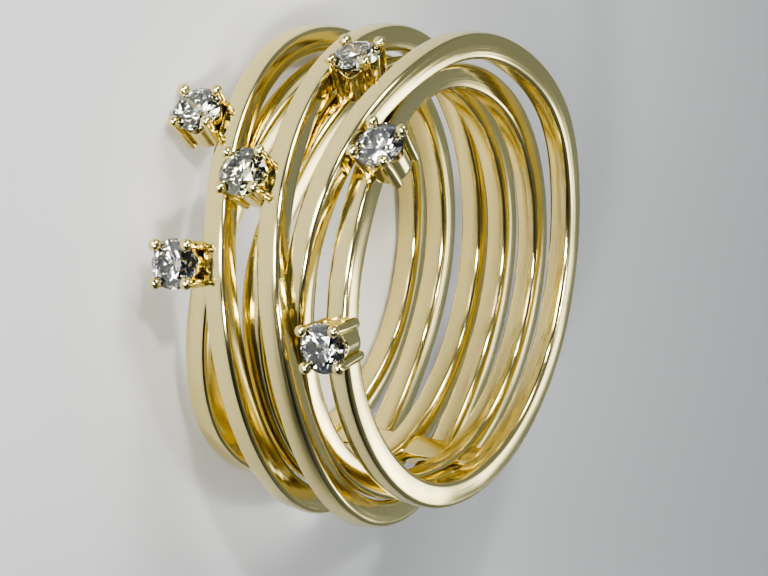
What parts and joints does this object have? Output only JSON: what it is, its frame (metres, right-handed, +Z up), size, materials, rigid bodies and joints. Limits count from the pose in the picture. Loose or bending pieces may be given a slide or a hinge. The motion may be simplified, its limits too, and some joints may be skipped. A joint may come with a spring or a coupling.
{
  "type": "diamond ring",
  "caption": "Wrap style finger ring of crossing polished gold bands with small round brilliants in four-claw baskets along the front.",
  "frame": {"origin": "centre of the footprint, on the surface the ring lies on", "axes": "+Z up, close to along the finger hole; -X towards the front with the stones; +Y towards the picture's top"},
  "size_m": [0.023, 0.0224, 0.0111],
  "materials": {
    "gold": "mirror polished yellow gold",
    "diamond": "clear, faceted and polished"
  },
  "bodies": {
    "root": {"gold_body": "gold", "diamond_1": "diamond", "diamond_2": "diamond", "diamond_3": "diamond", "diamond_4": "diamond", "diamond_5": "diamond", "diamond_6": "diamond"}
  },
  "joints": []
}
